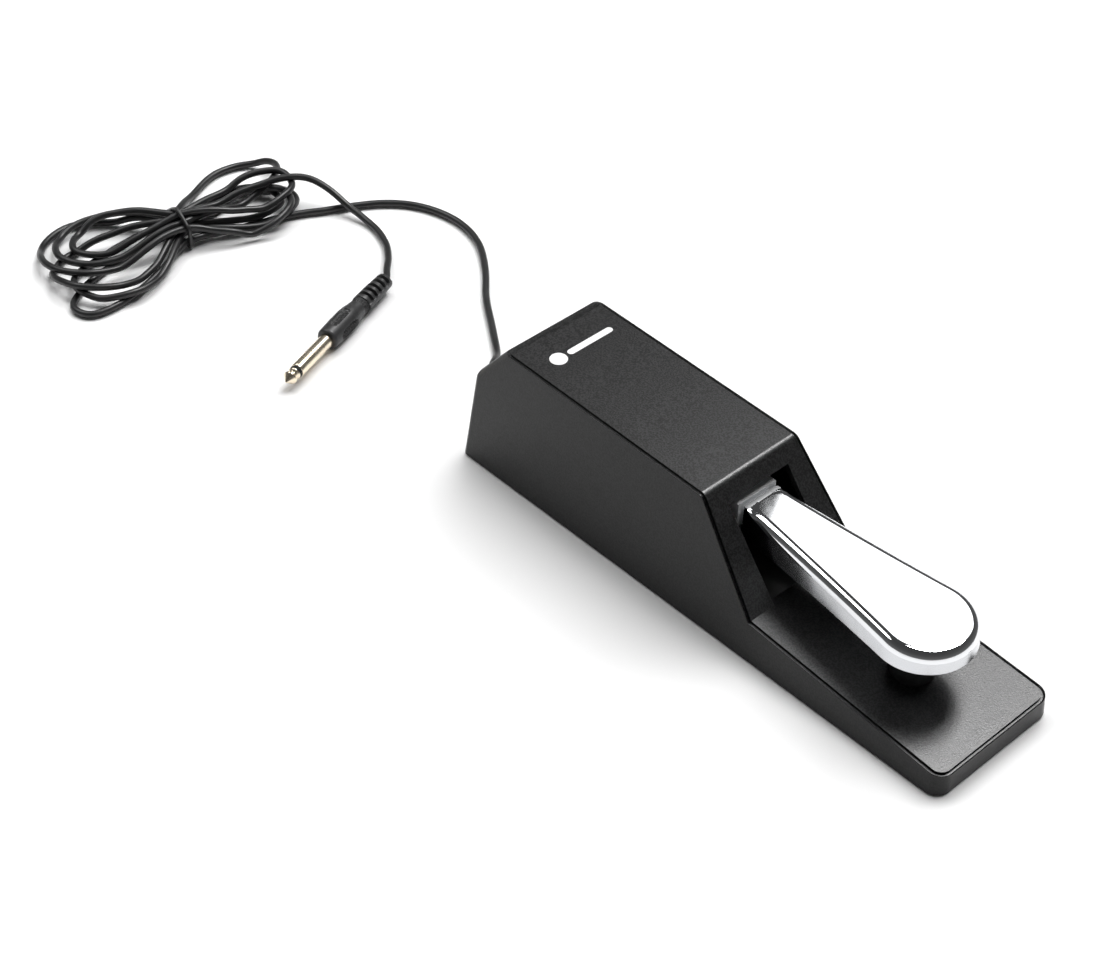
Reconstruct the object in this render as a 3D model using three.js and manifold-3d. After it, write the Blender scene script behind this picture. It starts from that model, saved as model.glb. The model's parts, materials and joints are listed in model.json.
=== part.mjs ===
// Sustain pedal with a chrome lever, a moulded wedge housing, and a cord that ends in a 6.35 mm plug.
// Millimetres. +X points to the toe end, +Z up, and the part is symmetric about Y = 0.
// The origin is the middle of the footprint, on the floor.
import * as THREE from 'three';
import { mergeVertices } from 'three/addons/utils/BufferGeometryUtils.js';
import Module from 'manifold-3d';

const wasm = await Module();
wasm.setup();

// ---- driving dimensions -------------------------------------------------------------------------
const LENGTH = 250;
const WIDTH = 62;
const GAP = 0.3; // clearance between pieces that touch
const WALL = 2.5; // housing wall
const DRAFT = 0.104; // side walls lean in by this much per millimetre of height
const RIM_Z = 0.5; // the housing's lower rim stands this far off the floor
const REAR_UPPER = { x: -120.5, z: 41.5 };
const REAR_TOP = { x: -105, z: 59.6 };
const RIDGE = { x: 2.3, z: 56.9 };
const FOOT = { x: 32.1, z: 17.1 };
const TOE_Z = 9.5;
const TOE_CORNER = 6;
const WINDOW = { half: 15.6, top: 51, bottom: 17.4 }; // opening in the slanted face
const SOLE = 2;
const PLATE = { bottom: 2.3, top: 4.3 };
const PIVOT = { x: -41, z: 30, radius: 2 };
const LEVER = { rear: 7.5, tip: 88, radius: 19.6, rearHalf: 9.9, bottom: 34, top: 46.3, slope: 0.05 };
const LEVER_TOP = 2.5; // thickness of the lever's upper wall
const LEVER_SKIRT = 1.8;
const BUMPER = { x: 85, radius: 8.4, top: 21.8 };
const SPRING = { x: -6, radius: 5.3, wire: 0.75, turns: 8, bottom: 9.4, top: 43.8 };
const SWITCH = { x: -24.5, length: 20, half: 3.2, top: 15.1, plunger: -27 };
const CORD = 1.6; // radius
const EXIT_Z = 10.4; // height of the cord's exit in the rear wall
const PLUG = { x: -203.9, y: -59.8, z: 5.4, turn: 109.6 }; // tip, and the axis from tip to boot
const PLATE_FLOOR = PLATE.top + GAP;

const HALF = LENGTH / 2;
const rad = THREE.MathUtils.degToRad;

// ---- materials ----------------------------------------------------------------------------------
const paint = (color, roughness, metalness = 0) => () =>
  new THREE.MeshStandardMaterial({ color, roughness, metalness });
const housingPlastic = paint(0x1d1d1f, 0.5);
const chrome = paint(0xe8eaec, 0.06, 1);
const zincSteel = paint(0xa9adb0, 0.35, 1);
const nickel = paint(0xd8cdb8, 0.15, 1);
const rubber = paint(0x121212, 0.8);
const nylon = paint(0xe6e2d6, 0.5);
const cordPvc = paint(0x222224, 0.45);
const switchPlastic = paint(0x2a2a2c, 0.5);
const redPlastic = paint(0xb02018, 0.4);
const wireRed = paint(0xa01810, 0.5);
const wireWhite = paint(0xd8d8d4, 0.5);

// ---- solids -------------------------------------------------------------------------------------
const part = new THREE.Group();

function add(name, geometry, material, parent = part) {
  const mesh = new THREE.Mesh(geometry, material());
  mesh.name = name;
  parent.add(mesh);
  return mesh;
}

function solid(geometry) {
  const bare = geometry.clone();
  bare.deleteAttribute('normal');
  bare.deleteAttribute('uv');
  const merged = mergeVertices(bare, 1e-4);
  return new wasm.Manifold(
    new wasm.Mesh({
      numProp: 3,
      vertProperties: new Float32Array(merged.attributes.position.array),
      triVerts: new Uint32Array(merged.index.array),
    }),
  );
}

function geometryOf(manifold) {
  const mesh = manifold.getMesh();
  const geometry = new THREE.BufferGeometry();
  geometry.setAttribute('position', new THREE.BufferAttribute(new Float32Array(mesh.vertProperties), 3));
  geometry.setIndex(new THREE.BufferAttribute(new Uint32Array(mesh.triVerts), 1));
  return geometry;
}

function join(first, ...others) {
  return geometryOf(others.reduce((sum, next) => sum.add(solid(next)), solid(first)));
}

function cut(body, ...tools) {
  return geometryOf(tools.reduce((left, tool) => left.subtract(solid(tool)), solid(body)));
}

function overlap(first, second) {
  return geometryOf(solid(first).intersect(solid(second)));
}

// A box given by its two corners.
function box(x0, y0, z0, x1, y1, z1) {
  const geometry = new THREE.BoxGeometry(x1 - x0, y1 - y0, z1 - z0);
  return geometry.translate((x0 + x1) / 2, (y0 + y1) / 2, (z0 + z1) / 2);
}

// An upright cylinder from z0 to z1.
function post(x, y, z0, z1, radius, sides = 20) {
  const geometry = new THREE.CylinderGeometry(radius, radius, z1 - z0, sides);
  return geometry.rotateX(Math.PI / 2).translate(x, y, (z0 + z1) / 2);
}

// A cylinder along Y from y0 to y1.
function rod(x, z, y0, y1, radius, sides = 24) {
  return new THREE.CylinderGeometry(radius, radius, y1 - y0, sides).translate(x, (y0 + y1) / 2, z);
}

// A cylinder along X from x0 to x1.
function bar(x0, x1, y, z, radius, sides = 20) {
  const geometry = new THREE.CylinderGeometry(radius, radius, x1 - x0, sides);
  return geometry.rotateZ(Math.PI / 2).translate((x0 + x1) / 2, y, z);
}

// A side profile in X and Z, carried across from y0 to y1.
function slab(profile, y0, y1) {
  const shape = new THREE.Shape(profile.map((p) => new THREE.Vector2(p.x, p.z)));
  const geometry = new THREE.ExtrudeGeometry(shape, { depth: y1 - y0, bevelEnabled: false });
  return geometry.rotateX(Math.PI / 2).translate(0, y1, 0);
}

// A closed skin through rings of points that all have the same number of points, lowest ring first.
function loft(rings) {
  const count = rings[0].length;
  const points = rings.flat();
  const index = [];
  for (let level = 0; level < rings.length - 1; level += 1) {
    for (let i = 0; i < count; i += 1) {
      const a = level * count + i;
      const b = level * count + ((i + 1) % count);
      index.push(a, b, b + count, a, b + count, a + count);
    }
  }
  const flat = rings[0].map((p) => new THREE.Vector2(p.x, p.y));
  const caps = THREE.ShapeUtils.triangulateShape(flat, []);
  const lid = (rings.length - 1) * count;
  caps.forEach(([a, b, c]) => index.push(a, c, b, lid + a, lid + b, lid + c));
  const geometry = new THREE.BufferGeometry();
  const flatPoints = points.flatMap((p) => [p.x, p.y, p.z]);
  geometry.setAttribute('position', new THREE.Float32BufferAttribute(flatPoints, 3));
  geometry.setIndex(index);
  return geometry;
}

// A round solid about the X axis, from pairs of distance along X and radius; both ends reach the axis.
function turned(stations, sides = 20) {
  const profile = stations.map(([along, radius]) => new THREE.Vector2(radius, along));
  const first = new THREE.Vector2(0, stations[0][0]);
  const last = new THREE.Vector2(0, stations[stations.length - 1][0]);
  return new THREE.LatheGeometry([first, ...profile, last], sides).rotateZ(-Math.PI / 2);
}

function tube(points, radius, steps, sides = 8) {
  const curve = new THREE.CatmullRomCurve3(points.map((p) => new THREE.Vector3(...p)), false, 'centripetal');
  const section = new THREE.Shape();
  for (let i = 0; i < sides; i += 1) {
    const turn = (i / sides) * 2 * Math.PI;
    const corner = [radius * Math.cos(turn), radius * Math.sin(turn)];
    if (i === 0) section.moveTo(...corner);
    else section.lineTo(...corner);
  }
  return new THREE.ExtrudeGeometry(section, { steps, extrudePath: curve, curveSegments: 1 });
}

// A pan-head screw with its head at the top (up = 1) or at the bottom (up = -1) of its shank.
function screw(x, y, seat, tip, up = 1, head = 2.4, shank = 1.3) {
  const headEnd = seat + up * 1.5;
  const shankSolid = post(x, y, Math.min(tip, seat + up * 0.4), Math.max(tip, seat + up * 0.4), shank, 12);
  const headSolid = post(x, y, Math.min(seat, headEnd), Math.max(seat, headEnd), head, 16);
  const slotZ = Math.min(headEnd, headEnd - up * 0.7);
  const slot = box(x - 0.4, y - head, slotZ - 0.01, x + 0.4, y + head, slotZ + 0.71);
  return cut(join(headSolid, shankSolid), slot);
}

// ---- housing ------------------------------------------------------------------------------------
const topZ = (x) => REAR_TOP.z + ((x - REAR_TOP.x) * (RIDGE.z - REAR_TOP.z)) / (RIDGE.x - REAR_TOP.x);
const deckZ = (x) => FOOT.z + ((x - FOOT.x) * (TOE_Z - FOOT.z)) / (HALF - FOOT.x);

function sideProfile() {
  return [
    { x: -HALF, z: RIM_Z },
    { x: HALF + 1, z: RIM_Z },
    { x: HALF + 1, z: deckZ(HALF + 1) },
    FOOT,
    RIDGE,
    REAR_TOP,
    REAR_UPPER,
  ];
}

// The same profile moved inwards by a wall's thickness, and open below.
function hollowProfile(wall) {
  const outer = sideProfile();
  const count = outer.length;
  const moved = outer.map((p, i) => {
    const before = outer[(i + count - 1) % count];
    const after = outer[(i + 1) % count];
    const inA = new THREE.Vector2(-(p.z - before.z), p.x - before.x).normalize();
    const inB = new THREE.Vector2(-(after.z - p.z), after.x - p.x).normalize();
    const scale = wall / (1 + inA.dot(inB));
    return { x: p.x + (inA.x + inB.x) * scale, z: p.z + (inA.y + inB.y) * scale };
  });
  moved[0] = { x: moved[0].x, z: -1 };
  moved[1] = { x: HALF - wall, z: -1 };
  moved[2] = { x: HALF - wall, z: deckZ(HALF - wall) - wall };
  return moved;
}

// The footprint, with rounded toe corners, as an upright prism whose sides lean in.
function plan(inset, z0, z1) {
  const corner = TOE_CORNER - inset;
  const toe = HALF - inset;
  const side = WIDTH / 2 - inset;
  const outline = [[-HALF - 2 + inset, -side]];
  for (let i = 0; i <= 6; i += 1) {
    const turn = rad(-90 + i * 15);
    outline.push([toe - corner + corner * Math.cos(turn), -side + corner + corner * Math.sin(turn)]);
  }
  for (let i = 0; i <= 6; i += 1) {
    const turn = rad(i * 15);
    outline.push([toe - corner + corner * Math.cos(turn), side - corner + corner * Math.sin(turn)]);
  }
  outline.push([-HALF - 2 + inset, side]);
  const ring = (z) => outline.map(([x, y]) => new THREE.Vector3(x, (y * (side - DRAFT * z)) / side, z));
  return loft([ring(z0), ring(z1)]);
}

// A block that runs through the slanted face, square to it.
function windowCutter() {
  const lean = { x: (FOOT.x - RIDGE.x) / (FOOT.z - RIDGE.z) };
  const faceX = (z) => RIDGE.x + (z - RIDGE.z) * lean.x;
  const profile = [
    { x: faceX(WINDOW.bottom) - 12, z: WINDOW.bottom - 0.3 },
    { x: faceX(WINDOW.bottom) + 12, z: WINDOW.bottom - 0.3 },
    { x: faceX(WINDOW.top) + 12, z: WINDOW.top },
    { x: faceX(WINDOW.top) - 12, z: WINDOW.top },
  ];
  return slab(profile, -WINDOW.half, WINDOW.half);
}

const SCREW_X = [-104, 0, 108];
const SCREW_Y = 24.6;
const screwPlaces = SCREW_X.flatMap((x) => [-SCREW_Y, SCREW_Y].map((y) => ({ x, y })));
const bossTop = (x) => Math.min(20, deckZ(x) - 1.2);

function housing() {
  const outer = overlap(slab(sideProfile(), -WIDTH, WIDTH), plan(0, -2, 70));
  const inner = overlap(slab(hollowProfile(WALL), -WIDTH, WIDTH), plan(WALL, -2, 70));
  const shell = cut(outer, inner, windowCutter());
  const bosses = screwPlaces.map(({ x, y }) => post(x, y, PLATE_FLOOR, bossTop(x), 3.8));
  const pilots = screwPlaces.map(({ x, y }) => post(x, y, 2, bossTop(x) - 1.4, 1.6, 16));
  const cordHole = bar(-HALF - 5, -HALF + 10, 0, EXIT_Z, 4.2);
  const bumperHole = post(BUMPER.x, 0, 5, 20, 1.6, 16);
  return cut(join(shell, ...bosses), ...pilots, cordHole, bumperHole);
}

add('upper_housing', housing(), housingPlastic);

// ---- bottom plate, rubber sole and the screws through them --------------------------------------
function underLayer(z0, z1, inset) {
  const side = WIDTH / 2 - inset;
  const corner = TOE_CORNER - inset + 0.6;
  const shape = new THREE.Shape();
  shape.moveTo(-HALF + inset + 1.2, -side);
  shape.lineTo(HALF - inset - corner, -side);
  shape.absarc(HALF - inset - corner, -side + corner, corner, -Math.PI / 2, 0);
  shape.lineTo(HALF - inset, side - corner);
  shape.absarc(HALF - inset - corner, side - corner, corner, 0, Math.PI / 2);
  shape.lineTo(-HALF + inset + 1.2, side);
  const geometry = new THREE.ExtrudeGeometry(shape, { depth: z1 - z0, bevelEnabled: false, curveSegments: 5 });
  return geometry.translate(0, 0, z0);
}

const LAYER_INSET = 3.1;
const bracketScrews = [-18, 18].map((y) => ({ x: PIVOT.x, y }));
const switchScrews = [SWITCH.x - 8.2, SWITCH.x + 8.2].map((x) => ({ x, y: 0 }));
const clampScrews = [-7, 7].map((y) => ({ x: -103, y }));

function bottomPlate() {
  const sheet = underLayer(PLATE.bottom, PLATE.top, LAYER_INSET);
  const places = [...screwPlaces, ...bracketScrews, ...switchScrews, ...clampScrews];
  return cut(sheet, ...places.map(({ x, y }) => post(x, y, 1, 6, 1.7, 16)));
}

function rubberSole() {
  const pad = underLayer(0, SOLE, LAYER_INSET);
  return cut(pad, ...screwPlaces.map(({ x, y }) => post(x, y, -1, 6, 2.8, 16)));
}

add('bottom_plate', bottomPlate(), zincSteel);
add('rubber_sole', rubberSole(), rubber);
screwPlaces.forEach(({ x, y }, i) => {
  add(`housing_screw_${i + 1}`, screw(x, y, PLATE.bottom - GAP, bossTop(x) - 1.8, -1, 2.4), zincSteel);
});

// ---- lever --------------------------------------------------------------------------------------
const leverTopZ = (x) => LEVER.top - LEVER.slope * (x - 10);

// Plan of the lever: straight rear edge, sides that flare with a slight waist, round tip.
function leverOutline(inset, rear = LEVER.rear + inset) {
  const waist = 0.6;
  const radius = LEVER.radius - inset;
  const start = rad(97);
  const joinX = LEVER.tip + radius * Math.cos(start);
  const joinY = radius * Math.sin(start);
  const rearHalf = LEVER.rearHalf - inset;
  const side = [];
  for (let i = 0; i < 8; i += 1) {
    const t = i / 8;
    const half = rearHalf + (joinY - rearHalf) * t - waist * 4 * t * (1 - t);
    side.push([rear + (joinX - rear) * t, half]);
  }
  const tip = [];
  for (let i = 0; i <= 18; i += 1) {
    const turn = -start + (2 * start * i) / 18;
    tip.push([LEVER.tip + radius * Math.cos(turn), radius * Math.sin(turn)]);
  }
  const near = side.map(([x, half]) => [x, -half]);
  return [...near, ...tip, ...side.reverse()];
}

function leverSolid(inset, drop, bevel, rear) {
  const ring = (extra, z) => leverOutline(inset + extra, rear).map(([x, y]) => new THREE.Vector3(x, y, z(x)));
  const rings = [ring(0, () => LEVER.bottom - (inset > 0 ? 1 : 0))];
  rings.push(ring(0, (x) => leverTopZ(x) - drop - bevel));
  if (bevel > 0) {
    rings.push(ring(bevel * 0.3, (x) => leverTopZ(x) - drop - bevel * 0.4));
    rings.push(ring(bevel, (x) => leverTopZ(x) - drop));
  }
  return loft(rings);
}

const LEVER_SCREWS = [16, 38];
const TONGUE = { top: LEVER_TOP + GAP, bottom: LEVER_TOP + GAP + 1.8 };

function lever() {
  const outer = leverSolid(0, 0, 1.6);
  const inner = leverSolid(LEVER_SKIRT, LEVER_TOP, 0, LEVER.rear - 2);
  const boss = post(BUMPER.x, 0, LEVER.bottom, leverTopZ(BUMPER.x) - 1, 7, 24);
  const holes = LEVER_SCREWS.map((x) => post(x, 0, LEVER.bottom, leverTopZ(x) - 1.1, 1.6, 16));
  return cut(join(cut(outer, inner), boss), ...holes);
}

add('lever', lever(), chrome);

// Channel that carries the lever on the pivot, with a tongue under the lever and a tab over the switch.
const ARM = { rear: -48, front: 6.9, half: 9.9, wall: 1.6, drop: 0.25 };
const STRIKER = { x0: -29, x1: -25, bottom: 17.2 };

function leverArm() {
  const top = (x, below) => leverTopZ(x) - ARM.drop - below;
  const profile = [
    { x: ARM.rear, z: 24.5 },
    { x: -34, z: 24.5 },
    { x: -22, z: 31 },
    { x: ARM.front, z: 36 },
    { x: ARM.front, z: top(ARM.front, 0) },
    { x: ARM.rear, z: top(ARM.rear, 0) },
  ];
  const hollow = [
    { x: ARM.rear - 1, z: 20 },
    { x: ARM.front - ARM.wall, z: 20 },
    { x: ARM.front - ARM.wall, z: top(ARM.front, ARM.wall) },
    { x: ARM.rear - 1, z: top(ARM.rear, ARM.wall) },
  ];
  const inside = ARM.half - ARM.wall;
  const channel = cut(slab(profile, -ARM.half, ARM.half), slab(hollow, -inside, inside));
  const tongueEnd = 46;
  const under = (x, depth) => leverTopZ(x) - depth;
  const tongue = [
    { x: ARM.front - ARM.wall, z: under(ARM.front, TONGUE.bottom) },
    { x: tongueEnd, z: under(tongueEnd, TONGUE.bottom) },
    { x: tongueEnd, z: under(tongueEnd, TONGUE.top) },
    { x: ARM.front - 0.2, z: under(ARM.front, TONGUE.top) },
    { x: ARM.front - ARM.wall, z: under(ARM.front, TONGUE.top) },
  ];
  const striker = box(STRIKER.x0, -2.5, STRIKER.bottom, STRIKER.x1, 2.5, 48);
  const joined = join(channel, slab(tongue, -6.5, 6.5), overlap(striker, slab(strikerReach(), -5, 5)));
  const bushHoles = rod(PIVOT.x, PIVOT.z, -ARM.half - 1, ARM.half + 1, 3.5);
  const screwHoles = LEVER_SCREWS.map((x) => post(x, 0, LEVER.bottom, 46, 1.6, 16));
  return cut(joined, bushHoles, ...screwHoles);
}

// Everything below the arm's upper face, as a side profile that trims the striker.
function strikerReach() {
  return [
    { x: ARM.rear, z: 0 },
    { x: ARM.front, z: 0 },
    { x: ARM.front, z: leverTopZ(ARM.front) - ARM.drop - 0.5 },
    { x: ARM.rear, z: leverTopZ(ARM.rear) - ARM.drop - 0.5 },
  ];
}

add('lever_arm', leverArm(), zincSteel);
LEVER_SCREWS.forEach((x, i) => {
  const seat = leverTopZ(x) - TONGUE.bottom - GAP - 0.1;
  add(`lever_screw_${i + 1}`, screw(x, 0, seat, leverTopZ(x) - 1.4, -1), zincSteel);
});

// ---- pivot --------------------------------------------------------------------------------------
const BRACKET = { half: 14, wall: 1.5, foot: 22, length: 6 };

function pivotBracket() {
  const { x } = PIVOT;
  const foot = box(x - 6, -BRACKET.foot, PLATE_FLOOR, x + 6, BRACKET.foot, PLATE_FLOOR + BRACKET.wall);
  const cheeks = [-1, 1].map((side) => {
    const y0 = Math.min(side * BRACKET.half, side * (BRACKET.half - BRACKET.wall));
    return box(x - 6, y0, PLATE_FLOOR, x + 6, y0 + BRACKET.wall, PIVOT.z + 6);
  });
  const holes = bracketScrews.map((place) => post(place.x, place.y, 3, 8, 1.7, 16));
  const pinHole = rod(x, PIVOT.z, -20, 20, PIVOT.radius + GAP);
  return cut(join(foot, ...cheeks), ...holes, pinHole);
}

function bush(side) {
  const inner = ARM.half - ARM.wall - 0.4;
  const sleeve = rod(PIVOT.x, PIVOT.z, inner, ARM.half + 1, 3.2);
  const flange = rod(PIVOT.x, PIVOT.z, ARM.half + GAP, BRACKET.half - BRACKET.wall - GAP, 4.8);
  const bore = rod(PIVOT.x, PIVOT.z, 0, 20, PIVOT.radius + 0.06);
  const piece = cut(join(sleeve, flange), bore);
  return side > 0 ? piece : piece.rotateZ(Math.PI).translate(2 * PIVOT.x, 0, 0);
}

function retainingClip(side) {
  const y0 = side > 0 ? BRACKET.half + GAP : -BRACKET.half - GAP - 0.8;
  const disc = rod(PIVOT.x, PIVOT.z, y0, y0 + 0.8, 4.2);
  const bore = rod(PIVOT.x, PIVOT.z, y0 - 1, y0 + 2, PIVOT.radius + GAP);
  const mouth = box(PIVOT.x - 1.4, y0 - 1, PIVOT.z, PIVOT.x + 1.4, y0 + 2, PIVOT.z + 9);
  return cut(disc, bore, mouth);
}

add('pivot_bracket', pivotBracket(), zincSteel);
add('pivot_pin', rod(PIVOT.x, PIVOT.z, -16.5, 16.5, PIVOT.radius), zincSteel);
add('pivot_bush_left', bush(1), nylon);
add('pivot_bush_right', bush(-1), nylon);
add('pin_clip_left', retainingClip(1), zincSteel);
add('pin_clip_right', retainingClip(-1), zincSteel);
bracketScrews.forEach(({ x, y }, i) => {
  const seat = PLATE_FLOOR + BRACKET.wall + GAP;
  add(`bracket_screw_${i + 1}`, screw(x, y, seat, PLATE.bottom + 0.2), zincSteel);
});

// ---- return spring, its seat, and the stops -----------------------------------------------------
function spring() {
  const points = [];
  const perTurn = 8;
  for (let i = 0; i <= SPRING.turns * perTurn; i += 1) {
    const turn = (i / perTurn) * 2 * Math.PI;
    const z = SPRING.bottom + ((SPRING.top - SPRING.bottom) * i) / (SPRING.turns * perTurn);
    points.push([SPRING.x + SPRING.radius * Math.cos(turn), SPRING.radius * Math.sin(turn), z]);
  }
  return tube(points, SPRING.wire, SPRING.turns * 12, 6);
}

function springSeat() {
  const base = post(SPRING.x, 0, PLATE_FLOOR, 8, 7.5, 24);
  const pilot = post(SPRING.x, 0, 7, 14, 3.6, 20);
  return join(base, pilot);
}

function bumper() {
  const ring = (radius, z) => {
    const points = [];
    for (let i = 0; i < 28; i += 1) {
      const turn = (i / 28) * 2 * Math.PI;
      const x = BUMPER.x + radius * Math.cos(turn);
      points.push(new THREE.Vector3(x, radius * Math.sin(turn), z(x)));
    }
    return points;
  };
  const foot = (x) => deckZ(x) + GAP;
  const body = loft([
    ring(BUMPER.radius, foot),
    ring(BUMPER.radius, () => BUMPER.top - 1),
    ring(BUMPER.radius - 1, () => BUMPER.top),
  ]);
  return cut(body, post(BUMPER.x, 0, 8, 18, 1.6, 16));
}

const ceiling = topZ(-15) - WALL;
add('return_spring', spring(), zincSteel);
add('spring_seat', springSeat(), nylon);
add('rest_stop_pad', box(-22, -7, leverTopZ(-22) + 0.1, -8, 7, ceiling - 0.5), rubber);
add('bumper', bumper(), rubber);
add('bumper_screw', screw(BUMPER.x, 0, deckZ(BUMPER.x) - WALL - 0.6, 17.4, -1), zincSteel);

// ---- switch -------------------------------------------------------------------------------------
function switchBody() {
  const x0 = SWITCH.x - SWITCH.length / 2;
  const block = box(x0, -SWITCH.half, PLATE_FLOOR, x0 + SWITCH.length, SWITCH.half, SWITCH.top);
  const holes = switchScrews.map(({ x }) => post(x, 0, 0, 20, 1.6, 16));
  const well = post(SWITCH.plunger, 0, 11, 20, 1.8, 16);
  return cut(block, ...holes, well);
}

function terminal(x, side) {
  const y0 = side > 0 ? SWITCH.half + GAP : -SWITCH.half - GAP - 4;
  return cut(box(x - 1.6, y0, 7, x + 1.6, y0 + 4, 7.6), post(x, side * 6, 6, 9, 0.7, 10));
}

add('switch_body', switchBody(), switchPlastic);
add('switch_plunger', post(SWITCH.plunger, 0, 13, STRIKER.bottom - GAP, 1.5, 16), redPlastic);
add('switch_terminal_common', terminal(-31, 1), zincSteel);
add('switch_terminal_contact', terminal(-18, -1), zincSteel);
switchScrews.forEach(({ x, y }, i) => {
  add(`switch_screw_${i + 1}`, screw(x, y, SWITCH.top + GAP, PLATE.bottom + 0.2, 1, 2), zincSteel);
});

// ---- cord entry ---------------------------------------------------------------------------------
const ENTRY = { inside: -118.5, wallIn: -120.3, wallOut: -125.2, flange: -126.8, end: -137 };

function strainRelief() {
  const stations = [
    [ENTRY.end, 2.3],
    [ENTRY.flange, 3.4],
    [ENTRY.flange, 5.4],
    [ENTRY.wallOut, 5.4],
    [ENTRY.wallOut, 3.8],
    [ENTRY.wallIn, 3.8],
    [ENTRY.wallIn, 5.4],
    [ENTRY.inside, 5.4],
  ];
  return turned(stations).translate(0, 0, EXIT_Z);
}

function cordClamp() {
  const strap = box(-106, -10.5, PLATE_FLOOR, -100, 10.5, 6.2);
  const hump = box(-106, -3.8, PLATE_FLOOR, -100, 3.8, EXIT_Z + 3);
  const bore = bar(-108, -98, 0, EXIT_Z - 0.6, CORD + GAP, 12);
  const holes = clampScrews.map(({ x, y }) => post(x, y, 3, 8, 1.7, 16));
  return cut(join(strap, hump), bore, ...holes);
}

add('strain_relief', strainRelief(), cordPvc);
add('cord_inner', tube([
  [ENTRY.inside + GAP, 0, EXIT_Z],
  [-113, 0, EXIT_Z - 0.5],
  [-104, 0, EXIT_Z - 0.6],
  [-96, 0, EXIT_Z - 0.6],
], CORD, 6), cordPvc);
add('cord_clamp', cordClamp(), nylon);
clampScrews.forEach(({ x, y }, i) => {
  add(`clamp_screw_${i + 1}`, screw(x, y, 6.5, PLATE.bottom + 0.2, 1, 2.2), zincSteel);
});

function leadWire(side, endX) {
  return tube([
    [-95.5, side * 0.8, EXIT_Z - 0.6],
    [-80, side * 3.5, 6.5],
    [-62, side * 6, 6.2],
    [-48, side * 8.5, 8.4],
    [-38, side * 10, 8.6],
    [endX - 6 * side, side * 10.5, 7.6],
    [endX, side * 8.8, 7.3],
    [endX, side * 7.9, 7.3],
  ], 0.6, 30, 6);
}

add('lead_wire_common', leadWire(1, -31), wireRed);
add('lead_wire_contact', leadWire(-1, -18), wireWhite);

// ---- cord, hank and plug ------------------------------------------------------------------------
// From the strain relief, over the floor, to the tied hank.
const RUN = [
  [ENTRY.end - GAP, 0, EXIT_Z],
  [-140, 0.1, EXIT_Z - 0.1],
  [-146, 2.8, 8.2],
  [-152.5, 9.5, 4.2],
  [-160, 18.5, 2],
  [-176, 30, 1.9],
  [-194, 42.2, 1.9],
  [-211, 56.4, 1.9],
  [-228, 66.9, 1.9],
  [-244, 70.6, 1.9],
  [-258, 69.2, 1.9],
  [-271, 63.8, 1.9],
  [-281, 55, 1.9],
  [-289, 43, 1.9],
  [-295, 31.5, 1.9],
  [-300.5, 22, 1.9],
];

// From the top of the hank, across the first stretch, to the plug's boot.
const TAIL = [
  [-308, 31.6, 8.6],
  [-299, 36, 7.2],
  [-284.5, 39.4, 5.6],
  [-270, 40.2, 2.6],
  [-255.5, 35.8, 1.9],
  [-244.5, 28.4, 2.6],
  [-236.6, 21.2, 4.6],
  [-231.2, 16.4, 5.4],
];

add('cord_run', tube(RUN, CORD, 42), cordPvc);
add('cord_tail', tube(TAIL, CORD, 16), cordPvc);

// Outline of the tied hank on the floor: two fans of loops either side of a waist.
const HANK = [
  [-303, -92], [-303, -72], [-310, -45], [-314.6, -22], [-311, -2], [-306.5, 16], [-311, 30],
  [-325, 38], [-344, 38.5], [-355, 27], [-348, 5], [-337.6, -20], [-350, -33], [-365, -47],
  [-370, -62], [-363, -79], [-341, -91], [-318, -97],
];
const TIE_Y = -22;

function hank() {
  const curve = new THREE.CatmullRomCurve3(HANK.map(([x, y]) => new THREE.Vector3(x, y, 0)), true);
  const outline = curve.getPoints(54).slice(0, -1).map((p) => new THREE.Vector2(p.x, p.y));
  const geometry = new THREE.ExtrudeGeometry(new THREE.Shape(outline), { depth: 10.4, bevelEnabled: false });
  return geometry.translate(0, 0, 2.3);
}

function hankTie() {
  const outer = box(-341.4, TIE_Y - 1.2, 0.6, -311.8, TIE_Y + 1.2, 14.4);
  const inner = box(-340, TIE_Y - 3, 2, -313.2, TIE_Y + 3, 13);
  return cut(outer, inner);
}

add('cord_hank', hank(), cordPvc);
add('hank_tie', hankTie(), rubber);

const plug = new THREE.Group();
plug.position.set(PLUG.x, PLUG.y, PLUG.z);
plug.rotation.z = rad(PLUG.turn);
part.add(plug);

add('plug_tip', turned([[0, 0.3], [2.6, 2.6], [3.4, 3.05], [4.2, 2.9], [5.2, 2.1], [6.3, 2.2], [6.9, 2.9]]), nickel, plug);
add('plug_insulator', turned([[7.2, 2.9], [8.4, 2.9]]), rubber, plug);
add('plug_sleeve', turned([[8.7, 3.05], [9.1, 3.17], [31.6, 3.17]]), nickel, plug);
add('plug_body', turned([[31.9, 4.6], [32.6, 5.1], [49, 5.3], [54, 4.4], [56.5, 4.1], [59.8, 4.1]]), cordPvc, plug);
add('plug_boot', turned([[60.1, 4.3], [68, 4.1], [80, 3.4]]), cordPvc, plug);

export default part;
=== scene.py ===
"""Sustain pedal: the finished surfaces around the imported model.

Lengths below are in millimetres and are scaled to metres where a mesh is made.
+X points to the toe end, +Z up, and Y = 0 is the middle plane.
"""
import json
import math
import bmesh
import bpy
import numpy as np
from mathutils import Matrix, Quaternion, Vector

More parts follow.
